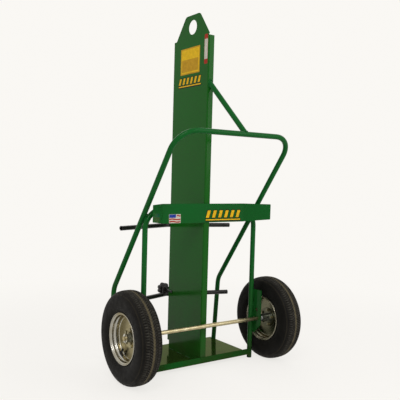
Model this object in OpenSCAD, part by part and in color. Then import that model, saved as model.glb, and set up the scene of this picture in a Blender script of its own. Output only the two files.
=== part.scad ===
// Two-cylinder welding cart with a sheet-steel firewall, pneumatic wheels and
// two swivelling cylinder clamps. Millimetres, +Z up, +X along the axle.
// The origin is on the ground, midway between the crossbar and the clamp knobs.
// Every Y below is measured from the axle; from_axle() moves it to that origin.

/* [Tubing] */
// Outside diameter of the frame tube
tube_d = 24; // [20:0.5:30]
// Wall of the frame tube
tube_wall = 2; // [1.2:0.1:3]
// Gap left between welded or seated pieces
seat_gap = 0.1; // [0.05:0.05:0.3]

/* [Wheels] */
// Outside diameter of the tyre
tyre_d = 406; // [380:1:430]
// Widest part of the tyre
tyre_w = 105; // [95:1:115]
// Thickness of the tyre's sidewalls
tyre_side = 7; // [5:0.5:9]
// Thickness of the tyre under its tread
tyre_crown = 10; // [9:0.5:13]
// Width of the tyre's beads
bead_toe = 14; // [11:0.5:16]
// Wall of the inner tube
inner_tube_t = 2; // [1.5:0.1:3]
// Diameter over the rim flanges
flange_d = 223; // [215:1:230]
// Width over the rim flanges
rim_w = 89; // [84:1:92]
// Radius of the bead seat
bead_r = 101.6; // [98:0.1:104]
// Sheet thickness of the rim halves
rim_t = 2.5; // [2:0.1:3]
// Outside radius of the rim's well
well_r = 97; // [94:0.5:99]
// Number of rim bolts
rim_bolts = 5; // [4:1:8]
// Radius of the rim bolt circle
rim_bolt_ring = 36; // [32:0.5:50]
// Diameter of a rim bolt
rim_bolt_d = 8; // [6:1:10]
// Outside diameter of the hub tube
hub_d = 38; // [36:0.5:42]
// Bore of the hub tube, which holds the bearings
hub_bore = 34; // [32:0.1:35.5]
// Reach of the hub beyond the middle plane, away from the cart
hub_out = 22; // [18:0.5:40]
// Reach of the hub beyond the middle plane, towards the cart
hub_in = 48; // [30:0.5:56]
// Radius of the hub's bolting flange
hub_flange_r = 46; // [42:0.5:60]
// Thickness of the hub's bolting flange
hub_flange_t = 4; // [3:0.5:6]
// Length of each wheel bearing
bearing_len = 12; // [10:1:18]
// Diameter of the valve stem
valve_d = 8; // [7:0.5:11]
// Reach of the valve stem inside the rim
valve_len = 22; // [15:1:30]
// Place of the valve round the rim, in degrees from straight up
valve_a = 212; // [0:1:360]

/* [Axle] */
// Diameter of the axle rod
axle_d = 19.05; // [16:0.05:20]
// Length of the axle beyond the cotter pin's centre
cotter_in = 5; // [4:0.5:8]
// Thickness of the axle washers
washer_t = 3.4; // [3:0.1:4]
// Outside diameter of the axle washers
washer_d = 38; // [34:1:42]
// Outside diameter of the axle spacers
spacer_d = 28; // [25:0.5:32]
// Length of the axle spacers
spacer_len = 16.4; // [6:0.1:30]
// Diameter of the cotter pins
cotter_d = 4; // [3:0.5:5]
// Radial running clearance on the axle and the clamp studs
run_gap = 0.05; // [0.02:0.01:0.09]
// End float between a hub and its washers
end_float = 0.5; // [0.3:0.1:1]

/* [Deck] */
// Width of the deck plate
deck_w = 644; // [620:1:660]
// How far the deck's ends stop short of the posts' outer sides
deck_inset = 11; // [8:0.5:12]
// Depth of the deck plate, front lip included
deck_depth = 345; // [320:1:360]
// Thickness of the deck plate
deck_t = 4.8; // [3:0.2:6]
// Height of the deck's underside above the ground
deck_z = 18; // [10:1:25]
// Height of the upturned lip, plate included
lip_h = 30; // [22:1:40]
// Axle centre to the outer face of the lip
lip_y = 22; // [20:0.5:30]
// Thickness of the lip
lip_t = 3.2; // [2.5:0.1:4]

/* [Firewall] */
// Depth of the firewall sheet
firewall_depth = 290; // [270:1:295]
// Thickness of the firewall sheet
firewall_t = 3.2; // [2:0.1:4]
// Height of the firewall's shoulders above the ground
shoulder_z = 1558; // [1400:1:1650]
// Rise of the lifting eye above the shoulders
eye_rise = 106; // [95:1:130]
// Width of the level top of the lifting eye
eye_top_w = 114; // [105:1:130]
// Radius of the corners at the top of the lifting eye
eye_corner_r = 22; // [10:1:30]
// Diameter of the lifting hole
eye_d = 68.5; // [50:0.5:72]
// Drop of the lifting hole's centre below the top
eye_drop = 58; // [50:1:62]
// Level shoulder left at the far edge
shoulder_w = 19; // [10:1:30]
// Width of the near edge's stiffening flange
edge_flange_w = 30; // [20:0.2:32]
// Inside radius of the flange's bend
edge_bend_r = 3; // [2:0.5:5]
// Drop of the flange's top below the shoulder
edge_flange_drop = 9; // [4:1:20]
// Height of the flange's foot above the deck
edge_flange_foot = 0.1; // [0.1:0.1:60]
// Width of the clipped far corner at the deck
clip_w = 14; // [8:1:20]
// Height of the clipped far corner at the deck
clip_h = 42; // [20:1:60]

/* [Hoop and cylinder rest] */
// Height of the hoop's top run, centre line
hoop_z = 750; // [740:1:758]
// Bend radius of the hoop's corners, centre line
hoop_bend_r = 90; // [70:1:110]
// Height of the cylinder rest's lower edge
rest_z = 686; // [660:1:690]
// Height of the cylinder rest strip
rest_h = 88; // [86:1:115]
// Thickness of the cylinder rest strip
rest_t = 3.2; // [2.5:0.1:4]
// Half the flat middle of the cylinder rest
rest_flat = 232; // [180:1:240]
// Length of each flared wing
wing_len = 132; // [80:1:140]
// Angle by which the wings flare towards the operator
wing_flare = 41; // [25:1:45]
// How much the lower edge of a wing rises to its end
wing_rise = 14; // [0:1:25]
// How much the upper edge of a wing falls to its end
wing_fall = 0; // [0:1:10]
// Cut across the two corners at a wing's end
wing_cut = 2.5; // [1:0.5:8]

/* [Push handle] */
// How far the handle's legs stand outside the posts, centre to centre
handle_out = 2; // [0:0.5:8]
// How far the handle's feet stand in from the deck's far edge
leg_inset = 15; // [10:1:20]
// Lean of the legs above their bend, from upright
handle_lean = 35.9; // [30:0.1:40]
// Lean of the legs below their bend, from upright
leg_lean = 4.3; // [2:0.1:8]
// Height of the crossbar's centre line
handle_z = 1086; // [1000:1:1150]
// Bend radius in the legs, centre line
leg_bend_r = 90; // [60:1:120]
// Bend radius at the crossbar's corners, centre line
grip_bend_r = 100; // [70:1:130]

/* [Firewall brace] */
// Height at which the brace meets the firewall's flange
brace_z = 1327; // [1250:1:1450]
// Distance from the firewall at which the brace meets the crossbar
brace_x = 36; // [26:1:80]

/* [Axle brackets] */
// Thickness of a bracket plate
bracket_t = 5; // [4:0.5:8]
// Height of a bracket's top edge
bracket_top = 345; // [300:1:380]
// Height of a bracket's lower edge
bracket_foot = 128; // [110:1:150]
// Reach of a bracket in front of the axle
bracket_reach = 23; // [20:1:30]
// Height of the spare axle hole above the axle
spare_up = 42; // [38:1:60]
// Set-back of the spare axle hole behind the axle
spare_back = 8; // [0:1:12]
// Diameter of the spare axle hole
spare_d = 20; // [17:0.5:21]

/* [Clamps] */
// Height of the upper clamp bar's centre line
upper_clamp_z = 649; // [600:1:660]
// Height of the lower clamp bar's centre line
lower_clamp_z = 294; // [240:1:320]
// Outside diameter of a clamp bar
bar_d = 22; // [18:0.5:23]
// Length of each arm of a clamp bar
arm_len = 334; // [290:1:334]
// Sweep of the arms towards the operator
arm_sweep = 17.3; // [14:0.1:20]
// Gap from the firewall's far edge to a clamp bar
bar_gap = 15; // [14.5:0.5:24]
// Height of a clamp's screw above its bar, centre to centre
screw_up = 22.5; // [22.4:0.1:25]
// Diameter of the clamp stud
stud_d = 12; // [10:0.5:12]
// Length of the stud's slotted root on the firewall
stud_root = 34; // [25:1:45]
// Thickness of the tab that the stud passes through
tab_t = 5; // [4:0.5:8]
// Reach of that tab above the screw's centre
tab_over = 14; // [12:0.5:20]
// Width of that tab
tab_w = 40; // [34:1:50]
// Thickness of the clamp's thrust washer
thrust_t = 5; // [4.5:0.5:6]
// Outside radius of that washer
thrust_r = 11; // [9:0.5:11]
// Across the flats of the stop nut
stop_nut_af = 18; // [17:0.5:18.5]
// Thickness of the stop nut
stop_nut_t = 8; // [6:0.5:9]
// Length of the stud past a closed knob
stud_past = 24; // [20:1:32]
// Travel of a clamp along its stud
clamp_travel = 30; // [20:1:30]

/* [Knobs] */
// Overall diameter of a knob
knob_d = 64; // [55:1:70]
// Number of lobes
knob_lobes = 7; // [5:1:9]
// Thickness of the lobed head
knob_head = 27; // [24:1:32]
// Length of the knob's boss
knob_boss = 8; // [7:1:30]
// Diameter of the boss
knob_boss_d = 24; // [22:1:25]
// Outside diameter of the brass insert
insert_d = 17; // [15:0.5:19]
// Length of the brass insert
insert_len = 28; // [20:1:29]

/* [Hidden] */
$fn = 96;
tube_r = tube_d / 2;
tube_bore_r = tube_r - tube_wall;
slack = 0.35;                        // clearance between pieces that turn against each other
weld = 2 * tube_r + seat_gap;        // centre distance of two tubes that touch side by side

// wheels and axle
axle_z = tyre_d / 2;
axle_r = axle_d / 2;
axle_bore_r = axle_r + seat_gap;
bracket_x = deck_w / 2;              // inner face of a bracket, on the outside of the post
bracket_out = bracket_x + bracket_t;
spacer_end = bracket_out + seat_gap + spacer_len;
wheel_x = spacer_end + end_float + hub_in;
washer_in = wheel_x + hub_out + end_float;
washer_out = washer_in + washer_t;
cotter_x = washer_out + seat_gap + cotter_d / 2;
axle_end = cotter_x + cotter_in;
flange_r = flange_d / 2;
curl_r = 2.8;
inner_tube_r = tyre_w / 2 - 2 * tyre_side;
rim_bend = 7;                        // outer radius of the bend between disc and well
rim_bolt_a = 10;
valve_x = 16;
valve_hole_r = valve_d / 2 + slack - seat_gap;
bead_x = rim_w / 2 - 2 * curl_r;     // where the tyre's bead meets the flange
tyre_mid = (bead_r + tyre_d / 2) / 2;
wheel_up = [0, 0, axle_z];

// deck, posts and firewall
deck_top = deck_z + deck_t;
lip_in = lip_y + lip_t;
deck_far = lip_y + deck_depth;
post_x = deck_w / 2 - tube_r;
post_y = lip_in + tube_r + seat_gap;
foot_cap = 4;
fold_y = lip_in + seat_gap;          // outer face of the firewall's near flange
firewall_far = fold_y + firewall_depth;
eye_y = (fold_y + firewall_far - shoulder_w) / 2;
eye_top = shoulder_z + eye_rise;
bend_out = edge_bend_r + firewall_t;

// the handle's straight upper legs lie against the hoop's bends
touch_a = 33;                        // angle along the hoop's bend where the leg touches
handle_x = post_x + handle_out;
touch_dx = handle_x - post_x + hoop_bend_r * (1 - cos(touch_a));
touch_off = sqrt(weld * weld - touch_dx * touch_dx);
touch_y = post_y + touch_off * cos(handle_lean);
touch_z = hoop_z - hoop_bend_r * (1 - sin(touch_a)) + touch_off * sin(handle_lean);
function leg_y(z) = touch_y - (z - touch_z) * tan(handle_lean);
grip_y = leg_y(handle_z);
leg_foot_y = deck_far - tube_r - leg_inset;
leg_bend_a = handle_lean - leg_lean;
handle_bend_z = (touch_y + touch_z * tan(handle_lean) - leg_foot_y - deck_z * tan(leg_lean))
    / (tan(handle_lean) - tan(leg_lean));
leg_cut = leg_bend_r * tan(leg_bend_a / 2);
leg_lap = 0.5;                       // the lower leg laps over the end of its bend, and is
leg_step = 0.02;                     // a hair larger so that the two join cleanly
leg_z0 = foot_cap + tube_r * sin(leg_lean);
leg_start = [handle_x, leg_foot_y - (leg_z0 - deck_z) * tan(leg_lean), leg_z0];
leg_low = (handle_bend_z - leg_z0) / cos(leg_lean) - leg_cut;
leg_down = (touch_z - handle_bend_z) / cos(handle_lean) - leg_cut;
leg_up = (handle_z - touch_z) / cos(handle_lean) - grip_bend_r;

// clamps
bar_r = bar_d / 2;
stud_r = stud_d / 2;
bar_y = firewall_far + bar_gap + bar_r;
tab_y = bar_y - tab_t / 2;           // near face of the tab, let into the bar
thrust_y = tab_y + tab_t + slack;
knob_y = thrust_y + thrust_t + slack;
knob_end = knob_y + knob_boss + knob_head;
stud_end = knob_end + stud_past;
stop_nut_r = stop_nut_af / 2 / cos(30);
stop_nut_y = tab_y - slack - stop_nut_t;

// the part's own origin, midway between its extremes in Y
origin_shift = (tube_r - grip_y - stud_end) / 2;

green = [0.13, 0.38, 0.18];
zinc = [0.72, 0.66, 0.48];
steel = [0.75, 0.75, 0.75];
black = [0.12, 0.12, 0.12];

// ---- helpers ----

function arc(c, r, a0, a1, n = 8) =
    [for (i = [0:n]) c + r * [cos(a0 + (a1 - a0) * i / n), sin(a0 + (a1 - a0) * i / n)]];

module from_axle() { translate([0, origin_shift, 0]) children(); }
module both_sides() { for (s = [0, 1]) mirror([s, 0, 0]) children(); }

// A rod along X between two values of x
module x_rod(x0, x1, r) { translate([x0, 0, 0]) rotate([0, 90, 0]) cylinder(h = x1 - x0, r = r); }

// A rod along Y between two values of y
module y_rod(y0, y1, r) { translate([0, y0, 0]) rotate([-90, 0, 0]) cylinder(h = y1 - y0, r = r); }

// A washer or tube along X
module x_ring(x0, x1, r, bore) difference() {
    x_rod(x0, x1, r);
    x_rod(x0 - 1, x1 + 1, bore);
}

// A bend that leaves the origin upwards and curls towards -Y
module bend_y(r, bend_r, angle)
    translate([0, -bend_r, 0]) rotate([90, 0, 90]) rotate_extrude(angle = angle) translate([bend_r, 0]) circle(r);

// Places what follows such a bend at its far end
module past_bend_y(bend_r, angle)
    translate([0, -bend_r, 0]) rotate([angle, 0, 0]) translate([0, bend_r, 0]) children();

// A bend that leaves the origin upwards and curls towards -X
module bend_x(r, bend_r, angle)
    translate([-bend_r, 0, 0]) rotate([90, 0, 0]) rotate_extrude(angle = angle) translate([bend_r, 0]) circle(r);

// Extrudes an outline drawn in (y, z) along X from x0
module yz_plate(x0, t) { translate([x0, 0, 0]) rotate([90, 0, 90]) linear_extrude(t) children(); }

// ---- deck and firewall ----

module base_plate() color(green) from_axle() difference() {
    union() {
        translate([0, 0, deck_z]) linear_extrude(deck_t) deck_outline();
        yz_plate(deck_inset - deck_w / 2, deck_w - 2 * deck_inset) lip_section();
    }
    both_sides() tube_notches();
}

module deck_outline()
    translate([deck_inset - deck_w / 2, lip_y + deck_t])
        square([deck_w - 2 * deck_inset, deck_far - lip_y - deck_t]);

// Notches for the posts and the handle's feet, open to the deck's ends
module tube_notches() {
    r = tube_r + seat_gap;
    translate([post_x, post_y, deck_z - 1]) {
        cylinder(h = deck_t + 2, r = r);
        translate([0, -r, 0]) cube([40, 2 * r, deck_t + 2]);
    }
    drift = deck_t / 2 * tan(leg_lean);
    translate([handle_x, leg_foot_y - drift, deck_z - 1]) {
        cylinder(h = deck_t + 2, r = r + drift + leg_step);
        translate([0, -r - drift - leg_step, 0]) cube([40, 2 * (r + drift + leg_step), deck_t + 2]);
    }
}

// The lip turns up from the plate with a rounded outer edge
module lip_section() polygon(concat(
    arc([lip_y + deck_t, deck_z + deck_t], deck_t, 270, 180),
    [[lip_y, deck_z + lip_h], [lip_in, deck_z + lip_h], [lip_in, deck_top], [lip_y + deck_t, deck_top]]));

module firewall() color(green) from_axle() difference() {
    union() {
        yz_plate(-firewall_t / 2, firewall_t) firewall_outline();
        translate([0, 0, deck_top + edge_flange_foot])
            linear_extrude(shoulder_z - edge_flange_drop - deck_top - edge_flange_foot) flange_section();
    }
    translate([0, post_y, hoop_z]) x_rod(-50, 50, tube_r + seat_gap);
    translate([0, eye_y, eye_top - eye_drop]) x_rod(-10, 10, eye_d / 2);
}

module firewall_outline() {
    near = eye_y - eye_top_w / 2;
    far = eye_y + eye_top_w / 2;
    slant = atan2(eye_rise, firewall_far - shoulder_w - far);
    cut = eye_corner_r * tan(slant / 2);
    polygon(concat(
        [[fold_y + bend_out, deck_top + seat_gap], [firewall_far - clip_w, deck_top + seat_gap],
         [firewall_far - clip_w, deck_top + clip_h], [firewall_far, deck_top + clip_h],
         [firewall_far, shoulder_z], [firewall_far - shoulder_w, shoulder_z]],
        arc([far - cut, eye_top - eye_corner_r], eye_corner_r, 90 - slant, 90),
        arc([near + cut, eye_top - eye_corner_r], eye_corner_r, 90, 90 + slant),
        [[fold_y, shoulder_z], [fold_y + bend_out, shoulder_z - edge_flange_drop]]));
}

module flange_section() {
    x0 = -firewall_t / 2;
    polygon(concat(
        [[x0 + edge_flange_w, fold_y + firewall_t]],
        arc([x0 + bend_out, fold_y + bend_out], edge_bend_r, 270, 180),
        [[x0 + firewall_t, fold_y + bend_out + 1], [x0, fold_y + bend_out + 1]],
        arc([x0 + bend_out, fold_y + bend_out], bend_out, 180, 270),
        [[x0 + edge_flange_w, fold_y]]));
}

// ---- tube frame ----

// Drawn with its slanted legs upright, from where they touch the hoop
module half_handle(r) {
    translate([handle_x, 0, 0]) {
        cylinder(h = leg_up, r = r);
        mirror([0, 0, 1]) cylinder(h = leg_down, r = r);
    }
    translate([handle_x, 0, leg_up]) bend_x(r, grip_bend_r, 90);
    translate([0, 0, leg_up + grip_bend_r]) x_rod(-1, handle_x - grip_bend_r, r);
    translate([handle_x, 0, -leg_down]) mirror([0, 0, 1]) {
        bend_y(r, leg_bend_r, leg_bend_a);
        past_bend_y(leg_bend_r, leg_bend_a) translate([0, 0, -leg_lap]) cylinder(h = leg_low + leg_lap, r = r + leg_step);
    }
}

module in_handle_frame() translate([0, touch_y, touch_z]) rotate([handle_lean, 0, 0]) children();

module push_handle() color(green) from_axle() in_handle_frame() difference() {
    both_sides() half_handle(tube_r);
    both_sides() half_handle(tube_bore_r);
}

module half_hoop(r) translate([0, post_y, 0]) {
    translate([post_x, 0, foot_cap]) cylinder(h = hoop_z - hoop_bend_r - foot_cap, r = r);
    translate([post_x, 0, hoop_z - hoop_bend_r]) bend_x(r, hoop_bend_r, 90);
    translate([0, 0, hoop_z]) x_rod(0, post_x - hoop_bend_r, r);
}

module rear_hoop() color(green) from_axle() difference() {
    both_sides() half_hoop(tube_r);
    both_sides() half_hoop(tube_bore_r);
}

// Flat strip with two tapered wings that flare towards the operator
module cylinder_rest() color(green) from_axle() translate([0, lip_in, rest_z]) {
    translate([-rest_flat, -rest_t, 0]) cube([2 * rest_flat, rest_t, rest_h]);
    both_sides() translate([rest_flat, 0, 0]) rotate([0, 0, -wing_flare]) wing();
}

module wing() {
    knee = rest_t * tan(wing_flare / 2);
    rotate([90, 0, 0]) linear_extrude(rest_t) polygon([[-knee, 0], [wing_len - wing_cut, wing_rise],
        [wing_len, wing_rise + wing_cut], [wing_len, rest_h - wing_fall - wing_cut],
        [wing_len - wing_cut, rest_h - wing_fall], [-knee, rest_h]]);
}

// Straight tube from the firewall's flange down to the crossbar
module firewall_brace() color(green) from_axle() {
    top = [edge_flange_w / 2 - firewall_t / 2, fold_y, brace_z];
    foot = [brace_x, grip_y, handle_z];
    d = foot - top;
    big = norm(d);
    difference() {
        slanted_rod(top - d * 0.1, foot, tube_r);
        slanted_rod(top - d * 0.2, foot + d * 0.1, tube_bore_r);
        translate([-big, fold_y - seat_gap, brace_z - big]) cube([2 * big, big, 2 * big]);
        translate([brace_x, grip_y, handle_z]) x_rod(-big, big, tube_r + seat_gap);
    }
}

module slanted_rod(a, b, r) {
    d = b - a;
    translate(a) rotate([0, acos(d[2] / norm(d)), atan2(d[1], d[0])]) cylinder(h = norm(d), r = r);
}

module foot_plugs() color(black) from_axle() both_sides() {
    translate([post_x, post_y, 0]) foot_plug();
    translate(leg_start) rotate([leg_lean, 0, 0]) translate([0, 0, -foot_cap]) foot_plug();
}

module foot_plug() {
    cylinder(h = foot_cap - seat_gap, r = tube_r);
    cylinder(h = foot_cap + 18, r = tube_bore_r - seat_gap);
}

// ---- axle ----

module axle_bracket() from_axle() difference() {
    yz_plate(bracket_x + seat_gap, bracket_t - seat_gap) polygon([[post_y + 6, bracket_foot], [post_y + 6, bracket_top],
        [-bracket_reach, bracket_top], [-bracket_reach, axle_z - 30], [post_y - 16, bracket_foot]]);
    translate(wheel_up) x_rod(bracket_x - 5, bracket_out + 5, axle_bore_r);
    translate([0, spare_back, axle_z + spare_up]) x_rod(bracket_x - 5, bracket_out + 5, spare_d / 2);
}

module left_axle_bracket() color(green) mirror([1, 0, 0]) axle_bracket();
module right_axle_bracket() color(green) axle_bracket();

module axle() color(zinc) from_axle() translate(wheel_up) difference() {
    x_rod(-axle_end, axle_end, axle_r);
    both_sides() translate([cotter_x, 0, 0]) cylinder(h = 40, r = cotter_d / 2 + seat_gap, center = true);
}

module axle_spacers() color(zinc) from_axle() translate(wheel_up) both_sides()
    x_ring(bracket_out + seat_gap, spacer_end, spacer_d / 2, axle_bore_r);

module axle_washers() color(zinc) from_axle() translate(wheel_up) both_sides()
    x_ring(washer_in, washer_out, washer_d / 2, axle_bore_r);

// Split pin: a shank through the axle, an eye on top and two bent tails
module cotter_pins() color(steel) from_axle() both_sides() translate([cotter_x, 0, axle_z]) {
    pin_r = cotter_d / 2;
    cylinder(h = axle_d + 4 * pin_r, r = pin_r, center = true);
    translate([0, 0, axle_r + 3.4 * pin_r]) rotate([90, 0, 90])
        rotate_extrude() translate([1.8 * pin_r, 0]) circle(0.75 * pin_r);
    for (s = [-1, 1]) translate([0, 0, -axle_r - 1.5 * pin_r]) rotate([s * 62, 0, 0])
        translate([0, 0, -6 * pin_r]) cylinder(h = 6 * pin_r, r = 0.7 * pin_r);
}

// ---- wheel, drawn about the X axis with its middle plane at x = 0 and its outer side towards +X ----

// Turns an outline drawn in (radius, x) about the X axis
module lathe_x() rotate([0, 90, 0]) rotate_extrude() children();

// One point of the tyre's outline: t runs from the crown at 0 round the sidewall
function tyre_point(t, w, up, down) = abs(t) < 90
    ? [tyre_mid + up * pow(cos(t), 0.7), sign(t) * w * pow(abs(sin(t)), 0.7)]
    : [tyre_mid - down * pow(-cos(t), 0.8), sign(t) * w * pow(abs(sin(t)), 0.8)];

module tyre() lathe_x() difference() {
    up = tyre_d / 2 - tyre_mid;
    heel = bead_x - seat_gap;
    polygon(concat(
        arc([bead_r + seat_gap + 4, 4 - heel], 4, 180, 270),
        [[flange_r, -heel]],
        [for (t = [-124:4:124]) tyre_point(t, tyre_w / 2, up, up)],
        [[flange_r, heel]],
        arc([bead_r + seat_gap + 4, heel - 4], 4, 90, 180)));
    polygon(concat([[bead_r, bead_toe - heel]],
        [for (t = [-116:8:116]) tyre_point(t, tyre_w / 2 - tyre_side, up - tyre_crown, up)],
        [[bead_r, heel - bead_toe]]));
    for (x = [-24, 0, 24]) translate([tyre_d / 2 - 7, x - 2]) square([10, 4]);
}

module inner_tube() difference() {
    lathe_x() difference() {
        inner_tube_outline(inner_tube_r);
        inner_tube_outline(inner_tube_r - inner_tube_t);
    }
    valve_place() cylinder(h = tyre_mid, r = valve_d / 2 - inner_tube_t);
}

module inner_tube_outline(r) translate([tyre_mid - 1, 0]) circle(r);

// One half of the rim, drawn from the joint at x = 0 outwards: disc, well, bead seat and rolled flange
module rim_half() difference() {
    lathe_x() rim_section();
    rim_bolt_places() x_rod(-1, rim_t + 1, rim_bolt_d / 2 + seat_gap);
}

module rim_section() {
    g = seat_gap / 2;
    polygon(concat(
        [[hub_d / 2 + seat_gap, g]],
        arc([well_r - rim_bend, g + rim_bend], rim_bend, -90, 0),
        [[well_r, bead_x - 19], [bead_r, bead_x - 13]],
        arc([bead_r + 4, bead_x - 4], 4, 180, 90),
        arc([flange_r - curl_r, bead_x + curl_r], curl_r, -90, 180, 16),
        arc([bead_r + 4, bead_x - 4], 4 + rim_t, 90, 180),
        [[bead_r - rim_t, bead_x - 12], [well_r - rim_t, bead_x - 18]],
        arc([well_r - rim_bend, g + rim_bend], rim_bend - rim_t, 0, -90),
        [[hub_d / 2 + seat_gap, g + rim_t]]));
}

module rim_bolt_places() for (i = [0:rim_bolts - 1]) rotate([rim_bolt_a + i * 360 / rim_bolts, 0, 0])
    translate([0, 0, rim_bolt_ring]) children();

// The valve leaves the outer half's well, square to the axle
module valve_place() translate([valve_x, 0, 0]) rotate([valve_a, 0, 0]) children();

module outer_rim() difference() {
    rim_half();
    valve_place() cylinder(h = flange_r, r = valve_hole_r);
}

module inner_rim() mirror([1, 0, 0]) rim_half();

// Tube with a bolting flange that lies against the inner half of the rim
module hub() difference() {
    face = -seat_gap / 2 - rim_t - seat_gap;
    union() {
        x_rod(-hub_in, hub_out, hub_d / 2);
        x_rod(face - hub_flange_t, face, hub_flange_r);
    }
    x_rod(-hub_in - 1, hub_out + 1, hub_bore / 2);
    rim_bolt_places() x_rod(-20, 1, rim_bolt_d / 2 + seat_gap);
}

module bearings() for (x = [-hub_in, hub_out - bearing_len])
    x_ring(x, x + bearing_len, hub_bore / 2 - seat_gap, axle_r + run_gap);

module rim_bolts_set() rim_bolt_places() {
    out_face = rim_t + 1.5 * seat_gap;
    in_face = -rim_t - hub_flange_t - 2.5 * seat_gap;
    nut_r = rim_bolt_d * 0.93;
    x_rod(in_face - rim_bolt_d * 0.95 - 1, out_face + 1, rim_bolt_d / 2);
    translate([out_face, 0, 0]) rotate([0, 90, 0]) cylinder(h = rim_bolt_d * 0.66, r = nut_r, $fn = 6);
    translate([in_face - rim_bolt_d * 0.8, 0, 0]) rotate([0, 90, 0]) cylinder(h = rim_bolt_d * 0.8, r = nut_r, $fn = 6);
}

module valve_stem() valve_place() {
    translate([0, 0, well_r - valve_len]) cylinder(h = valve_len + tyre_mid - inner_tube_r - well_r, r = valve_d / 2);
    translate([0, 0, well_r - valve_len - valve_d]) cylinder(h = valve_d * 1.2, r = valve_d * 0.6);
}

module wheel_at(side) from_axle() mirror([side < 0 ? 1 : 0, 0, 0]) translate([wheel_x, 0, axle_z]) children();

module left_tyre() color(black) wheel_at(-1) tyre();
module left_inner_tube() color(black) wheel_at(-1) inner_tube();
module left_outer_rim() color(zinc) wheel_at(-1) outer_rim();
module left_inner_rim() color(zinc) wheel_at(-1) inner_rim();
module left_hub() color(zinc) wheel_at(-1) hub();
module left_bearings() color(steel) wheel_at(-1) bearings();
module left_rim_bolts() color(steel) wheel_at(-1) rim_bolts_set();
module left_valve_stem() color(black) wheel_at(-1) valve_stem();
module right_tyre() color(black) wheel_at(1) tyre();
module right_inner_tube() color(black) wheel_at(1) inner_tube();
module right_outer_rim() color(zinc) wheel_at(1) outer_rim();
module right_inner_rim() color(zinc) wheel_at(1) inner_rim();
module right_hub() color(zinc) wheel_at(1) hub();
module right_bearings() color(steel) wheel_at(1) bearings();
module right_rim_bolts() color(steel) wheel_at(1) rim_bolts_set();
module right_valve_stem() color(black) wheel_at(1) valve_stem();

// ---- clamps, drawn with the bar's centre at z = 0 ----

module clamp_stud() translate([0, 0, screw_up]) difference() {
    y_rod(firewall_far - stud_root, stud_end, stud_r);
    translate([-firewall_t / 2 - seat_gap, firewall_far - stud_root - 1, -stud_r - 1])
        cube([firewall_t + 2 * seat_gap, stud_root + 1 + seat_gap, 2 * stud_r + 2]);
}

module stop_nut() translate([0, stop_nut_y, screw_up]) rotate([-90, 0, 0]) difference() {
    cylinder(h = stop_nut_t, r = stop_nut_r, $fn = 6);
    translate([0, 0, -1]) cylinder(h = stop_nut_t + 2, r = stud_r + seat_gap);
}

module thrust_washer() translate([0, 0, screw_up]) difference() {
    y_rod(thrust_y, thrust_y + thrust_t, thrust_r);
    y_rod(thrust_y - 1, thrust_y + thrust_t + 1, stud_r + run_gap);
}

// Two swept arms of tube and the upright tab that rides on the stud
module clamp_bar() difference() {
    union() {
        both_sides() arm(bar_r);
        translate([-tab_w / 2, tab_y, 0]) cube([tab_w, tab_t, screw_up + tab_over]);
    }
    both_sides() arm(bar_r - tube_wall);
    translate([0, 0, screw_up]) y_rod(tab_y - 1, tab_y + tab_t + 1, stud_r + run_gap);
}

module arm(r) translate([0, bar_y, 0]) rotate([0, 0, -arm_sweep]) x_rod(-0.5, arm_len, r);

module knob() translate([0, knob_y, screw_up]) rotate([-90, 0, 0]) difference() {
    union() {
        cylinder(h = knob_boss + 1, r = knob_boss_d / 2);
        translate([0, 0, knob_boss]) linear_extrude(knob_head) knob_outline();
    }
    translate([0, 0, -1]) cylinder(h = insert_len + 1 + seat_gap, r = insert_d / 2 + seat_gap);
    cylinder(h = knob_boss + knob_head + 1, r = stud_r + 0.6);
}

module knob_outline() {
    lobe_r = knob_d * 0.12;
    circle(knob_d * 0.41);
    for (i = [0:knob_lobes - 1]) rotate(i * 360 / knob_lobes) translate([knob_d / 2 - lobe_r, 0]) circle(lobe_r);
}

module knob_insert() translate([0, 0, screw_up]) difference() {
    y_rod(knob_y, knob_y + insert_len, insert_d / 2);
    y_rod(knob_y - 1, knob_y + insert_len + 1, stud_r + run_gap);
}

module clamp_at(z) from_axle() translate([0, 0, z]) children();

module upper_clamp_stud() color(steel) clamp_at(upper_clamp_z) clamp_stud();
module lower_clamp_stud() color(steel) clamp_at(lower_clamp_z) clamp_stud();
module clamp_stop_nuts() color(steel) for (z = [upper_clamp_z, lower_clamp_z]) clamp_at(z) stop_nut();
module upper_thrust_washer() color(steel) clamp_at(upper_clamp_z) thrust_washer();
module upper_clamp_bar() color(black) clamp_at(upper_clamp_z) clamp_bar();
module upper_knob() color(black) clamp_at(upper_clamp_z) knob();
module upper_knob_insert() color(zinc) clamp_at(upper_clamp_z) knob_insert();
module lower_thrust_washer() color(steel) clamp_at(lower_clamp_z) thrust_washer();
module lower_clamp_bar() color(black) clamp_at(lower_clamp_z) clamp_bar();
module lower_knob() color(black) clamp_at(lower_clamp_z) knob();
module lower_knob_insert() color(zinc) clamp_at(lower_clamp_z) knob_insert();

base_plate();
firewall();
push_handle();
rear_hoop();
cylinder_rest();
firewall_brace();
left_axle_bracket();
right_axle_bracket();
axle();
axle_spacers();
axle_washers();
cotter_pins();
foot_plugs();
upper_clamp_stud();
lower_clamp_stud();
clamp_stop_nuts();
left_tyre();
left_inner_tube();
left_outer_rim();
left_inner_rim();
left_hub();
left_bearings();
left_rim_bolts();
left_valve_stem();
right_tyre();
right_inner_tube();
right_outer_rim();
right_inner_rim();
right_hub();
right_bearings();
right_rim_bolts();
right_valve_stem();
upper_thrust_washer();
upper_clamp_bar();
upper_knob();
upper_knob_insert();
lower_thrust_washer();
lower_clamp_bar();
lower_knob();
lower_knob_insert();
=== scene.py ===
import math
import bpy
import numpy as np
from mathutils import Matrix, Vector


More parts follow.
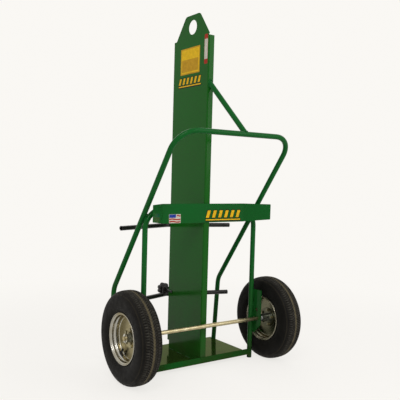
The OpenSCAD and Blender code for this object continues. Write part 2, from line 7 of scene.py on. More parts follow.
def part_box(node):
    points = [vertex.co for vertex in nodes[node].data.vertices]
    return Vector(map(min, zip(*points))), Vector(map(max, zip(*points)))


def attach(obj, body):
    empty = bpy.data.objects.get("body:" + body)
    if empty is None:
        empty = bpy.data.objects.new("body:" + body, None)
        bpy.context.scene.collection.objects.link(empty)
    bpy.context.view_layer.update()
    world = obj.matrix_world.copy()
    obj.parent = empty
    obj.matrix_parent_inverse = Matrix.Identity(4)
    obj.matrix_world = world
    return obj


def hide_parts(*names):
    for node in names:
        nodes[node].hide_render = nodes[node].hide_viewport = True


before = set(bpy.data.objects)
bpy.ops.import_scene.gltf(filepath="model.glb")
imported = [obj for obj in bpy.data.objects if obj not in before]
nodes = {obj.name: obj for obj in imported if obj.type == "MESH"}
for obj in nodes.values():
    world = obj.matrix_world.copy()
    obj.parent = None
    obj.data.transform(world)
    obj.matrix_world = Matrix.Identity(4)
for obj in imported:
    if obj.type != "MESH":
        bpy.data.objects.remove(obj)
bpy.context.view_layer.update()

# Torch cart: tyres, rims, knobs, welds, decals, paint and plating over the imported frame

sides = (("left", -1), ("right", 1))
clamps = ("upper", "lower")
print("frame:", len(nodes), "nodes")


def centre(node):
    low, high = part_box(node)
    return (low + high) / 2


axleY = centre("axle").y

look = {
    "eye": (-1.6017, axleY - 2.1778, 0.8969),
    "turn": -35.13,
    "down": 3.05,
    "roll": 1.56,
    "lens": 52.86,
    "shift": (0.011, 0.0203),
    "worldColour": (1.0, 0.99, 0.97),
    "worldLight": 0.60,
    "backdrop": (0.955, 0.936, 0.902),
    "lampColour": (1.0, 0.985, 0.96),
    "lampAim": (0, 0, 0.7),
    "lamps": (               # name, place, watts, size
        ("key", (-2.4, -2.6, 3.6), 66.0, 1.8),
        ("fill", (1.4, -3.0, 2.0), 34.0, 2.2),
        ("behind", (1.8, 2.6, 3.0), 9.0, 2.0),
    ),
    "floorColour": (0.93, 0.92, 0.905),
    "floorHalf": 30,
    "floorGlow": 0.80,       # how far the floor near the cart is backdrop rather than lit
    "floorFade": (0.9, 2.6), # distances over which it becomes all backdrop
}


def placeCamera():
    turn, down, roll = (math.radians(look[key]) for key in ("turn", "down", "roll"))
    back = Vector((math.sin(turn) * math.cos(down), -math.cos(turn) * math.cos(down), math.sin(down)))
    right = Vector((math.cos(turn), math.sin(turn), 0))
    up = back.cross(right)
    rolledRight = right * math.cos(roll) + up * math.sin(roll)
    rolledUp = up * math.cos(roll) - right * math.sin(roll)
    place = Matrix((rolledRight, rolledUp, back)).transposed().to_4x4()
    place.translation = look["eye"]
    data = bpy.data.cameras.new("camera")
    camera = bpy.data.objects.new("camera", data)
    bpy.context.scene.collection.objects.link(camera)
    camera.matrix_world = place
    data.sensor_width = 36
    data.lens = look["lens"]
    data.shift_x, data.shift_y = look["shift"]
    data.clip_end = 60
    bpy.context.scene.camera = camera


placeCamera()
bpy.context.scene.view_settings.view_transform = "Standard"


# 1 for the rays that show the backdrop: from the camera, off a mirror or through glass
def backdropRay(tree):
    path = tree.nodes.new("ShaderNodeLightPath")
    last = path.outputs["Is Camera Ray"]
    for name in ("Is Glossy Ray", "Is Transmission Ray"):
        larger = tree.nodes.new("ShaderNodeMath")
        larger.operation = "MAXIMUM"
        tree.links.new(last, larger.inputs[0])
        tree.links.new(path.outputs[name], larger.inputs[1])
        last = larger.outputs[0]
    return last


def makeRoom():
    world = bpy.data.worlds.new("room")
    bpy.context.scene.world = world
    world.use_nodes = True
    tree = world.node_tree
    tree.nodes.clear()
    out = tree.nodes.new("ShaderNodeOutputWorld")
    lit = tree.nodes.new("ShaderNodeBackground")
    lit.inputs["Color"].default_value = (*look["worldColour"], 1)
    lit.inputs["Strength"].default_value = look["worldLight"]
    seen = tree.nodes.new("ShaderNodeBackground")
    seen.inputs["Color"].default_value = (*look["backdrop"], 1)
    seen.inputs["Strength"].default_value = 1.0
    mix = tree.nodes.new("ShaderNodeMixShader")
    tree.links.new(backdropRay(tree), mix.inputs[0])
    tree.links.new(lit.outputs[0], mix.inputs[1])
    tree.links.new(seen.outputs[0], mix.inputs[2])
    tree.links.new(mix.outputs[0], out.inputs["Surface"])


def softLamp(name, place, watts, size):
    data = bpy.data.lights.new(name, "AREA")
    data.energy = watts
    data.size = size
    data.color = look["lampColour"]
    lamp = bpy.data.objects.new(name, data)
    bpy.context.scene.collection.objects.link(lamp)
    lamp.location = place
    towards = Vector(look["lampAim"]) - Vector(place)
    lamp.rotation_euler = towards.to_track_quat("-Z", "Y").to_euler()


makeRoom()
for lamp in look["lamps"]:
    softLamp(*lamp)
print("camera and lights")


def newMaterial(name, base, rough, metal=0.0, spec=0.5):
    mat = bpy.data.materials.new(name)
    mat.use_nodes = True
    shader = mat.node_tree.nodes["Principled BSDF"]
    shader.inputs["Base Color"].default_value = (*base, 1)
    shader.inputs["Roughness"].default_value = rough
    shader.inputs["Metallic"].default_value = metal
    shader.inputs["Specular IOR Level"].default_value = spec
    return mat, shader


def newNode(mat, kind):
    return mat.node_tree.nodes.new(kind)


def link(mat, source, target):
    mat.node_tree.links.new(source, target)


def groupWith(name, ins, outs):
    group = bpy.data.node_groups.new(name, "ShaderNodeTree")
    for key in ins:
        group.interface.new_socket(key, in_out="INPUT", socket_type="NodeSocketFloat")
    for key in outs:
        group.interface.new_socket(key, in_out="OUTPUT", socket_type="NodeSocketFloat")
    return group, group.nodes.new("NodeGroupInput"), group.nodes.new("NodeGroupOutput")


noiseBand = (0.3, 0.7)       # the part of a noise's range that is spread from Low to High
paintedShadeBand = (0.35, 0.65)
leastPaintedShade = 0.35            # what is left where the noise is at its lowest
paintedShadeDetail = 4


# noise over the piece, brought between Low and High
def makeBandedNoise():
    group, given, result = groupWith("banded noise", ("Scale", "Detail", "Low", "High"), ("Value",))
    inner, links = group.nodes, group.links
    place = inner.new("ShaderNodeTexCoord")
    noise = inner.new("ShaderNodeTexNoise")
    band = inner.new("ShaderNodeMapRange")
    band.inputs["From Min"].default_value, band.inputs["From Max"].default_value = noiseBand
    links.new(place.outputs["Object"], noise.inputs["Vector"])
    links.new(given.outputs["Scale"], noise.inputs["Scale"])
    links.new(given.outputs["Detail"], noise.inputs["Detail"])
    links.new(noise.outputs["Fac"], band.inputs["Value"])
    links.new(given.outputs["Low"], band.inputs["To Min"])
    links.new(given.outputs["High"], band.inputs["To Max"])
    links.new(band.outputs["Result"], result.inputs["Value"])
    return group


# painted shade, darker towards the ground: full at the height Bottom over the ground, none at Top, broken up
# by noise
def makePaintedShade():
    group, given, result = groupWith("paintedShade", ("Bottom", "Top", "Scale", "Amount"), ("Mask",))
    inner, links = group.nodes, group.links
    place = inner.new("ShaderNodeTexCoord")
    split = inner.new("ShaderNodeSeparateXYZ")
    fall = inner.new("ShaderNodeMapRange")
    noise = inner.new("ShaderNodeTexNoise")
    noise.inputs["Detail"].default_value = paintedShadeDetail
    uneven = inner.new("ShaderNodeMapRange")
    uneven.inputs["From Min"].default_value, uneven.inputs["From Max"].default_value = paintedShadeBand
    uneven.inputs["To Min"].default_value = leastPaintedShade
    both = inner.new("ShaderNodeMath")
    both.operation = "MULTIPLY"
    amount = inner.new("ShaderNodeMath")
    amount.operation = "MULTIPLY"
    links.new(place.outputs["Object"], split.inputs[0])
    links.new(split.outputs["Z"], fall.inputs["Value"])
    links.new(given.outputs["Top"], fall.inputs["From Min"])
    links.new(given.outputs["Bottom"], fall.inputs["From Max"])
    links.new(place.outputs["Object"], noise.inputs["Vector"])
    links.new(given.outputs["Scale"], noise.inputs["Scale"])
    links.new(noise.outputs["Fac"], uneven.inputs["Value"])
    links.new(fall.outputs["Result"], both.inputs[0])
    links.new(uneven.outputs["Result"], both.inputs[1])
    links.new(both.outputs[0], amount.inputs[0])
    links.new(given.outputs["Amount"], amount.inputs[1])
    links.new(amount.outputs[0], result.inputs["Mask"])
    return group


bandedNoise, paintedShade = makeBandedNoise(), makePaintedShade()


def useGroup(mat, group, **values):
    node = newNode(mat, "ShaderNodeGroup")
    node.node_tree = group
    for key, value in values.items():
        node.inputs[key].default_value = value
    return node.outputs[0]


def addNoise(mat, scale, low, high, detail=3.0):
    return useGroup(mat, bandedNoise, Scale=scale, Detail=detail, Low=low, High=high)


def addPaintedShade(mat, bottom, top, scale, amount):
    return useGroup(mat, paintedShade, Bottom=bottom, Top=top, Scale=scale, Amount=amount)


def tint(mat, factor, colourA, colourB):
    mix = newNode(mat, "ShaderNodeMix")
    mix.data_type = "RGBA"
    link(mat, factor, mix.inputs["Factor"])
    for index, colour in ((6, colourA), (7, colourB)):       # the A and B sockets for colours
        if isinstance(colour, bpy.types.NodeSocket):
            link(mat, colour, mix.inputs[index])
        else:
            mix.inputs[index].default_value = (*colour, 1)
    return mix.outputs[2]


def mathOn(mat, operation, *values):
    node = newNode(mat, "ShaderNodeMath")
    node.operation = operation
    for socket, value in zip(node.inputs, values):
        if isinstance(value, bpy.types.NodeSocket):
            link(mat, value, socket)
        else:
            socket.default_value = value
    return node.outputs[0]


# what each finish ends in: its colour, its roughness, and a height that becomes bump
def connect(mat, shader, colour, roughness, height, rise):
    bump = newNode(mat, "ShaderNodeBump")
    bump.inputs["Distance"].default_value = rise
    link(mat, height, bump.inputs["Height"])
    link(mat, colour, shader.inputs["Base Color"])
    link(mat, roughness, shader.inputs["Roughness"])
    link(mat, bump.outputs["Normal"], shader.inputs["Normal"])


# sprayed green enamel: uneven colour, orange peel, painted shade near the ground
paint = {
    "sheet": {
        "base": (0.0042, 0.092, 0.0055), "shade": (0.0070, 0.080, 0.0060),
        "rough": (0.12, 0.20), "spec": 0.10,
    },
    "tube": {
        "base": (0.0036, 0.094, 0.0145), "shade": (0.0046, 0.078, 0.0120),
        "rough": (0.14, 0.24), "spec": 0.08,
    },
    # the deck's walked-on face gets an olive colour and a yellow-tinted metallic shine, a painted sheen; its
    # lip keeps the tube's green
    "deck": {
        "base": (0.032, 0.102, 0.011), "shade": (0.042, 0.090, 0.012),
        "rough": (0.06, 0.12), "spec": 0.0,
    },
    "deckTop": 0.0233,       # the deck's walked-on face lies below this height, its lip above
    "deckSheen": 0.50,       # metallic share of that face
    "deckEdge": (0.82, 0.80, 0.66),
    # the painted shade near the ground: its colour, the heights it fades over, its noise scale and its
    # strength
    "paintedShade": (0.022, 0.040, 0.010),
    "paintedShadeHeights": (0.02, 0.55),
    "paintedShadeScale": 9,
    "paintedShadeAmount": 0.75,
    "patchScale": 3.5,
    "glossScale": 14,
    "peelScale": 220,
    "peel": 0.00003,
}


def greenPaint(kind):
    want = paint[kind]
    mat, shader = newMaterial("green paint " + kind, want["base"], want["rough"][0], 0, want["spec"])
    clean = tint(mat, addNoise(mat, paint["patchScale"], 0, 1), want["base"], want["shade"])
    # painted olive sheen on the flat face below deckTop
    if kind == "deck":
        place, split = newNode(mat, "ShaderNodeTexCoord"), newNode(mat, "ShaderNodeSeparateXYZ")
        link(mat, place.outputs["Object"], split.inputs[0])
        flat = mathOn(mat, "LESS_THAN", split.outputs["Z"], paint["deckTop"])
        shader.inputs["Specular Tint"].default_value = (*paint["deckEdge"], 1)
        link(mat, mathOn(mat, "MULTIPLY", flat, paint["deckSheen"]), shader.inputs["Metallic"])
        clean = tint(mat, flat, paint["tube"]["base"], clean)
    # darker towards the ground as painted shade
    paintedShadeMask = addPaintedShade(mat, *paint["paintedShadeHeights"], paint["paintedShadeScale"], paint["paintedShadeAmount"])
    gloss = addNoise(mat, paint["glossScale"], *want["rough"])
    peel = addNoise(mat, paint["peelScale"], 0, 1, 1.0)
    connect(mat, shader, tint(mat, paintedShadeMask, clean, paint["paintedShade"]), gloss, peel, paint["peel"])
    return mat


sheetGreen, tubeGreen, deckGreen = (greenPaint(kind) for kind in ("sheet", "tube", "deck"))

# plated and bare metals: bright and dull colours, roughness from and to, scale of the mottle,
# colour of the shine at grazing angles
plating = {
    # rim zinc's mottle runs from tan to pale bluish white, the pale patches partly painted highlights on the
    # flange
    "rim zinc": ((0.47, 0.47, 0.45), (0.27, 0.235, 0.15), (0.18, 0.28), 11, (0.86, 0.80, 0.64)),
    "disc zinc": ((0.37, 0.325, 0.20), (0.30, 0.27, 0.17), (0.26, 0.34), 7, (0.78, 0.70, 0.52)),
    # the cart-side rim half takes darker copies of the same zinc as painted shade
    "back zinc painted shade": ((0.34, 0.32, 0.25), (0.25, 0.23, 0.17), (0.20, 0.30), 7, (0.70, 0.60, 0.42)),
    "back disc zinc painted shade": ((0.150, 0.142, 0.092), (0.100, 0.108, 0.078), (0.22, 0.30), 7, (0.60, 0.52, 0.36)),
    "hub zinc": ((0.45, 0.49, 0.54), (0.30, 0.33, 0.36), (0.24, 0.36), 40, (1, 1, 1)),
    # plate zinc is a darker copy of the hub's zinc, painted shade
    "plate zinc painted shade": ((0.120, 0.118, 0.080), (0.090, 0.092, 0.066), (0.24, 0.32), 20, (0.5, 0.45, 0.3)),
    "bolt zinc": ((0.36, 0.33, 0.22), (0.26, 0.24, 0.16), (0.30, 0.45), 60, (0.8, 0.75, 0.6)),
    "bright zinc": ((0.62, 0.61, 0.56), (0.50, 0.48, 0.40), (0.22, 0.40), 60, (1, 1, 1)),
    "drawn rod": ((0.54, 0.48, 0.31), (0.34, 0.28, 0.15), (0.24, 0.40), 30, (0.9, 0.85, 0.7)),
    "brass": ((0.60, 0.42, 0.17), (0.50, 0.33, 0.12), (0.25, 0.35), 60, (1, 0.9, 0.6)),
}


grainHeight = 0.00001        # of the finest bumps on metal and vinyl


# the roughness has 4 times and the grain 12 times the mottle's scale
def plated(name):
    bright, dull, rough, scale, shine = plating[name]
    mat, shader = newMaterial(name, bright, rough[0], 1.0)
    shader.inputs["Specular Tint"].default_value = (*shine, 1)
    colour = tint(mat, addNoise(mat, scale, 0, 1, 4), bright, dull)
    grain = addNoise(mat, scale * 12, 0, 1, 2.0)
    connect(mat, shader, colour, addNoise(mat, scale * 4, *rough), grain, grainHeight)
    return mat


metals = {name: plated(name) for name in plating}

# black finishes: the two colours they vary between, roughness from and to, specular, scale of the
# mottle, height of the grain
blacks = {
    "black paint": ((0.007, 0.007, 0.007), (0.016, 0.015, 0.014), (0.20, 0.36), 0.30, 30, 0.00002),
    "black plastic": ((0.007, 0.007, 0.007), (0.014, 0.014, 0.013), (0.34, 0.46), 0.30, 60, 0.00003),
    "butyl rubber": ((0.008, 0.008, 0.008), (0.020, 0.018, 0.016), (0.50, 0.65), 0.20, 30, 0.00004),
}


# the grain has 14 times the mottle's scale
def blackFinish(name):
    dark, light, rough, spec, scale, rise = blacks[name]
    mat, shader = newMaterial(name, dark, rough[0], 0, spec)
    colour = tint(mat, addNoise(mat, scale, 0, 1), dark, light)
    grain = addNoise(mat, scale * 14, 0, 1, 1.0)
    connect(mat, shader, colour, addNoise(mat, scale, *rough), grain, rise)
    return mat


blackPaint, blackPlastic, butylRubber = (blackFinish(name) for name in blacks)


def dress(mat, *names):
    for name in names:
        mesh = nodes[name].data
        mesh.materials.clear()
        mesh.materials.append(mat)


barrelRadius = 0.0215


# the hub's bolt plate, the part further out than its barrel, gets a darker zinc as painted shade, as dark as
# the disc behind it
def dressPlate(name):
    mesh = nodes[name].data
    mesh.materials.append(metals["plate zinc painted shade"])
    middle = centre(name)
    centres = np.empty(len(mesh.polygons) * 3, dtype=np.float32)
    mesh.polygons.foreach_get("center", centres)
    centres = centres.reshape(-1, 3)
    out = np.hypot(centres[:, 1] - middle.y, centres[:, 2] - middle.z)
    mesh.polygons.foreach_set("material_index", (out > barrelRadius).astype(np.int32))


dress(sheetGreen, "firewall")
dress(tubeGreen, "cylinder_rest", "push_handle", "rear_hoop", "firewall_brace")
dress(tubeGreen, "left_axle_bracket", "right_axle_bracket")
dress(deckGreen, "base_plate")
dress(metals["drawn rod"], "axle")
dress(metals["bright zinc"], "axle_spacers", "axle_washers", "cotter_pins")
dress(blackPlastic, "foot_plugs")
dress(blackPaint, "clamp_stop_nuts")
for clamp in clamps:
    dress(metals["bright zinc"], clamp + "_thrust_washer")
    dress(blackPaint, clamp + "_clamp_bar", clamp + "_clamp_stud")
    dress(metals["brass"], clamp + "_knob_insert")
for side, sign in sides:
    dress(butylRubber, side + "_inner_tube", side + "_valve_stem")
    dress(metals["hub zinc"], side + "_hub", side + "_bearings")
    dressPlate(side + "_hub")
    dress(metals["bolt zinc"], side + "_rim_bolts")
print("materials:", len(bpy.data.materials))


# faces of a grid of points; wrapped ways close on themselves
def gridFaces(rows, cols, wrapRows, wrapCols):
    i = np.arange(rows if wrapRows else rows - 1)
    j = np.arange(cols if wrapCols else cols - 1)
    i, j = np.meshgrid(i, j, indexing="ij")
    nextI, nextJ = (i + 1) % rows, (j + 1) % cols
    quads = np.stack((i * cols + j, nextI * cols + j, nextI * cols + nextJ, i * cols + nextJ), axis=-1)
    return quads.reshape(-1, 4)


def meshFrom(name, points, quads, materials):
    mesh = bpy.data.meshes.new(name)
    points = np.asarray(points, dtype=np.float32).reshape(-1, 3)
    mesh.vertices.add(len(points))
    mesh.vertices.foreach_set("co", points.ravel())
    mesh.loops.add(quads.size)
    mesh.loops.foreach_set("vertex_index", quads.ravel().astype(np.int32))
    mesh.polygons.add(len(quads))
    mesh.polygons.foreach_set("loop_start", np.arange(0, quads.size, 4, dtype=np.int32))
    mesh.polygons.foreach_set("use_smooth", np.full(len(quads), True))
    mesh.update(calc_edges=True)
    mesh.validate()
    for mat in materials:
        mesh.materials.append(mat)
    piece = bpy.data.objects.new(name, mesh)
    bpy.context.scene.collection.objects.link(piece)
    return piece


def grid(x, y, z):
    return np.stack(np.broadcast_arrays(x, y, z), axis=-1)


def fullTurn(steps):
    return np.linspace(0, 2 * np.pi, steps, endpoint=False)


# arc of points about a centre, angles in degrees
def arc(cx, cy, radius, start, end, steps):
    t = np.radians(np.linspace(start, end, steps))
    return np.stack((cx + radius * np.cos(t), cy + radius * np.sin(t)), axis=-1)


# profile of (radius, along) carried round the X axis: y = r sin a, z = r cos a;
# a sign of -1 turns the piece half a turn about Z
def latheX(profile, middle, sign, segments):
    a = fullTurn(segments)[:, None]
    r, along = profile[:, 0][None, :], profile[:, 1][None, :]
    return grid(sign * along, sign * r * np.sin(a), r * np.cos(a)) + np.array(middle)


def smoothStep(low, high, x):
    t = np.clip((x - low) / (high - low), 0, 1)
    return t * t * (3 - 2 * t)


# 1 between the two middle numbers of the span, falling smoothly to 0 at its outer ones
def within(span, x):
    riseFrom, riseTo, fallFrom, fallTo = span
    return smoothStep(riseFrom, riseTo, x) * (1 - smoothStep(fallFrom, fallTo, x))


tyre = {
    "radius": 0.203,
    "half": 0.0525,          # half the width over the sidewalls
    "bead": 0.1016,
    "flange": 0.1115,
    "heel": 0.0388,          # bead's outer corner from the middle plane
    "heelRound": 0.004,
    "toe": 0.014,            # width of the bead's seat
    "shoulderPower": 0.7,
    "lowerPower": 0.8,
    "sidewallEnd": 124,      # angle at which the sidewall meets the rim
    "ridge": 0.0007,         # unit of the raised rings' height
    "ridgeSpread": 0.0004,   # how far a ring of one unit draws the wall in
    "ridges": ((55, 1.4, 2.2), (66, 2.2, 1.0), (114, 2.0, 0.8)),     # angle, width, units high
    "ridgeSteps": (-2.2, -1.1, 0, 1.1, 2.2),     # extra points round the first ring, in degrees
    "dustyRidge": 0.1867,    # radius of the ring that has picked up dust
    "dustyWidth": 0.0018,
    "inside": ((0.118, 0.040), (0.150, 0.0440), (0.180, 0.0360), (0.1905, 0.015)),
    "toothCount": 108,
    "perTooth": 6,
    "treadHalf": 0.0385,
    "treadSteps": 61,
    "grooveDepth": 0.0026,   # dusty centre groove
    "grooveEdge": (0.0064, 0.0074),
    "grooveSaw": 0.0040,
    "sipeDepth": 0.0044,
    "sipeWidth": (0.17, 0.27),           # shares of a tooth
    "sipeSpan": (0.0062, 0.0072, 0.0150, 0.0165),
    "sipeSlant": 0.012,      # distance across in which a sipe slants by one tooth
    "sideDepth": 0.0040,
    "sideLine": 0.0185,
    "sideWidth": (0.0010, 0.0022),
    "sideSaw": 0.0018,
    "notchDepth": 0.0046,
    "notchWidth": (0.18, 0.28),
    "notchSpan": (0.0215, 0.0230, 0.0345, 0.0370),
    "ringDepth": 0.0024,
    "ringLine": 0.0350,
    "ringWidth": (0.0008, 0.0020),
    "wornAndShadeFade": (0.0290, 0.0380),
    "dustShares": {"side": 0.12, "sipe": 0.02, "ring": 0.14, "ridge": 0.16},
    "darkRubber": (0.0050, 0.0047, 0.0043),
    "paleRubber": (0.0095, 0.0086, 0.0074),
    "wornAndShadeRubber": (0.044, 0.041, 0.034),
    "dustColour": (0.115, 0.096, 0.056),
    "dustNoise": (90, 0.5, 1.0),         # scale, then the least and most of the dust that it leaves
    "wornAndShadeNoise": (60, 0.2, 1.0),
    "mottle": 12,
    "gloss": (50, 0.50, 0.68),
    "grain": 700,
    "grainHeight": 0.00006,
}
tyre["mid"] = (tyre["bead"] + tyre["radius"]) / 2
tyre["rise"] = tyre["radius"] - tyre["mid"]


# rubber with dust in the grooves and a paler rubbed tread top whose cuts stay dark as painted shade, both
# broken up by noise
def makeTyreRubber():
    mat, shader = newMaterial("tyre rubber", tyre["darkRubber"], 0.6, 0, 0.08)
    masks = []
    for name in ("dust", "wornAndShade"):
        mask = newNode(mat, "ShaderNodeAttribute")
        mask.attribute_name = name
        masks.append(mask.outputs["Fac"])
    dusty = mathOn(mat, "MULTIPLY", masks[0], addNoise(mat, *tyre["dustNoise"]))
    wornAndShadeMask = mathOn(mat, "MULTIPLY", masks[1], addNoise(mat, *tyre["wornAndShadeNoise"]))
    clean = tint(mat, addNoise(mat, tyre["mottle"], 0, 1), tyre["darkRubber"], tyre["paleRubber"])
    # paler worn tread top; the cuts left dark are painted shade
    clean = tint(mat, wornAndShadeMask, clean, tyre["wornAndShadeRubber"])
    colour = tint(mat, dusty, clean, tyre["dustColour"])
    grain = addNoise(mat, tyre["grain"], 0, 1, 1.0)
    connect(mat, shader, colour, addNoise(mat, *tyre["gloss"]), grain, tyre["grainHeight"])
    return mat


tyreRubber = makeTyreRubber()


# crown radius at a distance u from the middle plane: a superellipse of power 1 / shoulderPower
def crownRadius(u):
    across = np.clip(np.abs(u) / tyre["half"], 0, 1) ** (1 / tyre["shoulderPower"])
    return tyre["mid"] + tyre["rise"] * np.sqrt(1 - across ** 2) ** tyre["shoulderPower"]


# one sidewall from the tread's edge to the bead, for an angle t from the crown:
# half * sin(t) ^ power across, mid +- rise * cos(t) ^ power out, plus the raised rings
def sidewall():
    edge = np.degrees(np.arcsin((tyre["treadHalf"] / tyre["half"]) ** (1 / tyre["shoulderPower"])))
    upper = np.linspace(edge, 90, 15)[1:]
    lower = np.linspace(90, tyre["sidewallEnd"], 13)[1:]
    t = np.sort(np.concatenate((upper, lower, tyre["ridges"][0][0] + np.array(tyre["ridgeSteps"]))))
    power = np.where(t < 90, tyre["shoulderPower"], tyre["lowerPower"])
    sine, cosine = np.sin(np.radians(t)), np.cos(np.radians(t))
    r = tyre["mid"] + np.sign(cosine) * tyre["rise"] * np.abs(cosine) ** power
    across = tyre["half"] * sine ** power
    ridge = sum(units * np.exp(-((t - at) / wide) ** 2) for at, wide, units in tyre["ridges"])
    r += tyre["ridge"] * ridge * np.sign(cosine)
    across -= tyre["ridgeSpread"] * ridge
    return np.stack((r, across), axis=-1)


# closed outline of the tyre's section as (radius, across): up the left side, over the tread and
# down the right side
def tyreOutline():
    u = np.linspace(-tyre["treadHalf"], tyre["treadHalf"], tyre["treadSteps"])
    tread = np.stack((crownRadius(u), u), axis=-1)
    flange = np.array([[tyre["flange"], tyre["heel"]]])
    turn = tyre["heelRound"]
    heel = arc(tyre["bead"] + turn + 0.0001, tyre["heel"] - turn, turn, 90, 180, 6)
    inner = np.array([(tyre["bead"], tyre["heel"] - tyre["toe"]), *tyre["inside"]])
    right = np.vstack((sidewall(), flange, heel, inner))
    left = right[::-1] * (1, -1)
    return np.vstack((left, tread, right)), len(left)


# depth of the tread's cuts at a distance u across and an angle a round: a centre groove with saw
# edges, slanted sipes, a saw-edged groove at each side, shoulder notches and a ring at each edge;
# each is a smooth step of the distance from its own line, and the deepest one wins
def treadCut(u, a):
    away = np.abs(u)
    phase = a * tyre["toothCount"] / (2 * np.pi) + np.sign(u) * 0.25
    saw = np.abs((phase % 1) * 2 - 1)
    middle = 1 - smoothStep(*tyre["grooveEdge"], away + tyre["grooveSaw"] * saw)
    slant = (phase + away / tyre["sipeSlant"]) % 1
    sipe = (1 - smoothStep(*tyre["sipeWidth"], np.abs(slant - 0.5))) * within(tyre["sipeSpan"], away)
    side = 1 - smoothStep(*tyre["sideWidth"], np.abs(away - tyre["sideLine"] - tyre["sideSaw"] * (saw - 0.5)))
    tooth = np.abs((phase + 0.5) % 1 - 0.5)
    notch = (1 - smoothStep(*tyre["notchWidth"], tooth)) * within(tyre["notchSpan"], away)
    ring = (1 - smoothStep(*tyre["ringWidth"], np.abs(away - tyre["ringLine"]))) * np.ones_like(saw)
    cut = np.maximum.reduce((middle * tyre["grooveDepth"], sipe * tyre["sipeDepth"], side * tyre["sideDepth"],
                             notch * tyre["notchDepth"], ring * tyre["ringDepth"]))
    share = tyre["dustShares"]
    dust = np.maximum.reduce((middle, share["side"] * side, share["sipe"] * sipe, share["ring"] * ring))
    # the uncut tread top turns paler, partly as wear; every cut stays dark as painted shade
    untouched = 1 - np.maximum.reduce((middle, sipe, side, notch, ring))
    return cut, dust, untouched * (1 - smoothStep(*tyre["wornAndShadeFade"], away))


def addMask(piece, name, values):
    layer = piece.data.attributes.new(name, "FLOAT", "POINT")
    layer.data.foreach_set("value", values.astype(np.float32).ravel())


# the section carried round the axle, its tread pushed in by the cuts
def buildTyre(side, sign):
    outline, start = tyreOutline()
    segments = tyre["toothCount"] * tyre["perTooth"]
    band = slice(start, start + tyre["treadSteps"])
    cut, dust, wornAndShade = treadCut(outline[band, 1][None, :], fullTurn(segments)[:, None])
    points = latheX(outline, (0, 0, 0), 1, segments)
    points[:, band, 1:] *= (1 - cut / outline[band, 0][None, :])[..., None]
    points = points * (sign, sign, 1) + np.array(centre(side + "_tyre"))
    quads = gridFaces(segments, len(outline), True, True)[:, ::-1]
    piece = meshFrom(side + "_tyre_tread", points, quads, [tyreRubber])
    dusty, wornAndShadeMask = np.zeros((2, segments, len(outline)))
    onRidge = np.exp(-((outline[:, 0] - tyre["dustyRidge"]) / tyre["dustyWidth"]) ** 2)
    dusty += tyre["dustShares"]["ridge"] * onRidge * (np.abs(outline[:, 1]) > tyre["treadHalf"])
    dusty[:, band], wornAndShadeMask[:, band] = dust, wornAndShade
    addMask(piece, "dust", dusty)
    addMask(piece, "wornAndShade", wornAndShadeMask)
    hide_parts(side + "_tyre")
    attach(piece, side + "_wheel")


for side, sign in sides:
    buildTyre(side, sign)
print("tyres")


rim = {
    "hubRadius": 0.0191,
    "disc": (0.045, 0.070),  # radii of two points on the way out over the disc
    "well": 0.0970,
    "bead": 0.1016,
    "flange": 0.1115,
    "beadX": 0.0389,
    "slope": (0.0195, 0.0180, 0.0145, 0.0130),       # from well to bead seat, inward from beadX
    "innerSlope": (0.0125, 0.0135, 0.0170, 0.0185),  # the same way back on the inner face
    "ease": 0.0008,
    "corner": 0.004,
    "curl": 0.0028,
    "bend": 0.0070,
    "wall": 0.0025,
    "gap": 0.00005,
    "discEnd": 0.004,        # the disc's finish ends this far inside the well
    "segments": 192,
}


# one half of the rim as (radius, along): out along the disc's joint face, round to the well, up to
# the bead seat, round the rolled flange, and back along the inner face
def rimOutline():
    gap, wall, beadX, well, bead = (rim[key] for key in ("gap", "wall", "beadX", "well", "bead"))
    bend, curl, corner, ease = (rim[key] for key in ("bend", "curl", "corner", "ease"))
    near, far = rim["disc"]
    slope, back = beadX - np.array(rim["slope"]), beadX - np.array(rim["innerSlope"])
    parts = (
        np.array([[rim["hubRadius"], gap], [near, gap], [far, gap]]),
        arc(well - bend, gap + bend, bend, -90, 0, 10),
        np.stack(((well, well + ease, bead - ease, bead), slope), axis=-1),
        arc(bead + corner, beadX - corner, corner, 180, 90, 8),
        arc(rim["flange"] - curl, beadX + curl, curl, -90, 180, 18),
        arc(bead + corner, beadX - corner, corner + wall, 90, 180, 8),
        np.stack((np.array((bead, bead - ease, well + ease, well)) - wall, back), axis=-1),
        arc(well - bend, gap + bend, bend - wall, 0, -90, 8),
        np.array([[far, gap + wall], [near, gap + wall], [rim["hubRadius"], gap + wall]]),
    )
    return np.vstack(parts)


# the outline carried round the axle; the half that faces the cart is turned over
def buildRim(side, sign, half, facing):
    profile = rimOutline() * (1, facing)
    points = latheX(profile, centre(side + "_tyre"), sign, rim["segments"])
    quads = gridFaces(rim["segments"], len(profile), True, True)
    if facing > 0:
        quads = quads[:, ::-1]
    # the half facing the cart is darkened as painted shade
    finish = ("rim zinc", "disc zinc") if facing > 0 else ("back zinc painted shade", "back disc zinc painted shade")
    piece = meshFrom(side + "_" + half + "_rim_pressing", points, quads, [metals[name] for name in finish])
    r = np.broadcast_to(profile[:, 0][None, :], points.shape[:2]).ravel()
    onDisc = r[quads].mean(axis=1) < rim["well"] - rim["discEnd"]
    piece.data.polygons.foreach_set("material_index", onDisc.astype(np.int32))
    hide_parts(side + "_" + half + "_rim")
    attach(piece, side + "_wheel")


for side, sign in sides:
    buildRim(side, sign, "outer", 1)
    buildRim(side, sign, "inner", -1)
print("rims")


boot = {
    "seat": 0.0946,
    "halfWide": 0.0150,
    "halfDeep": 0.0066,
    "height": 0.0060,
    "segments": 40,
    "rows": (                # share of the oval's size, share of the height
        (0.05, 0.0), (1.0, 0.0), (1.0, 0.16), (0.92, 0.34),
        (0.66, 0.52), (0.50, 0.75), (0.44, 1.0), (0.05, 1.0),
    ),
}


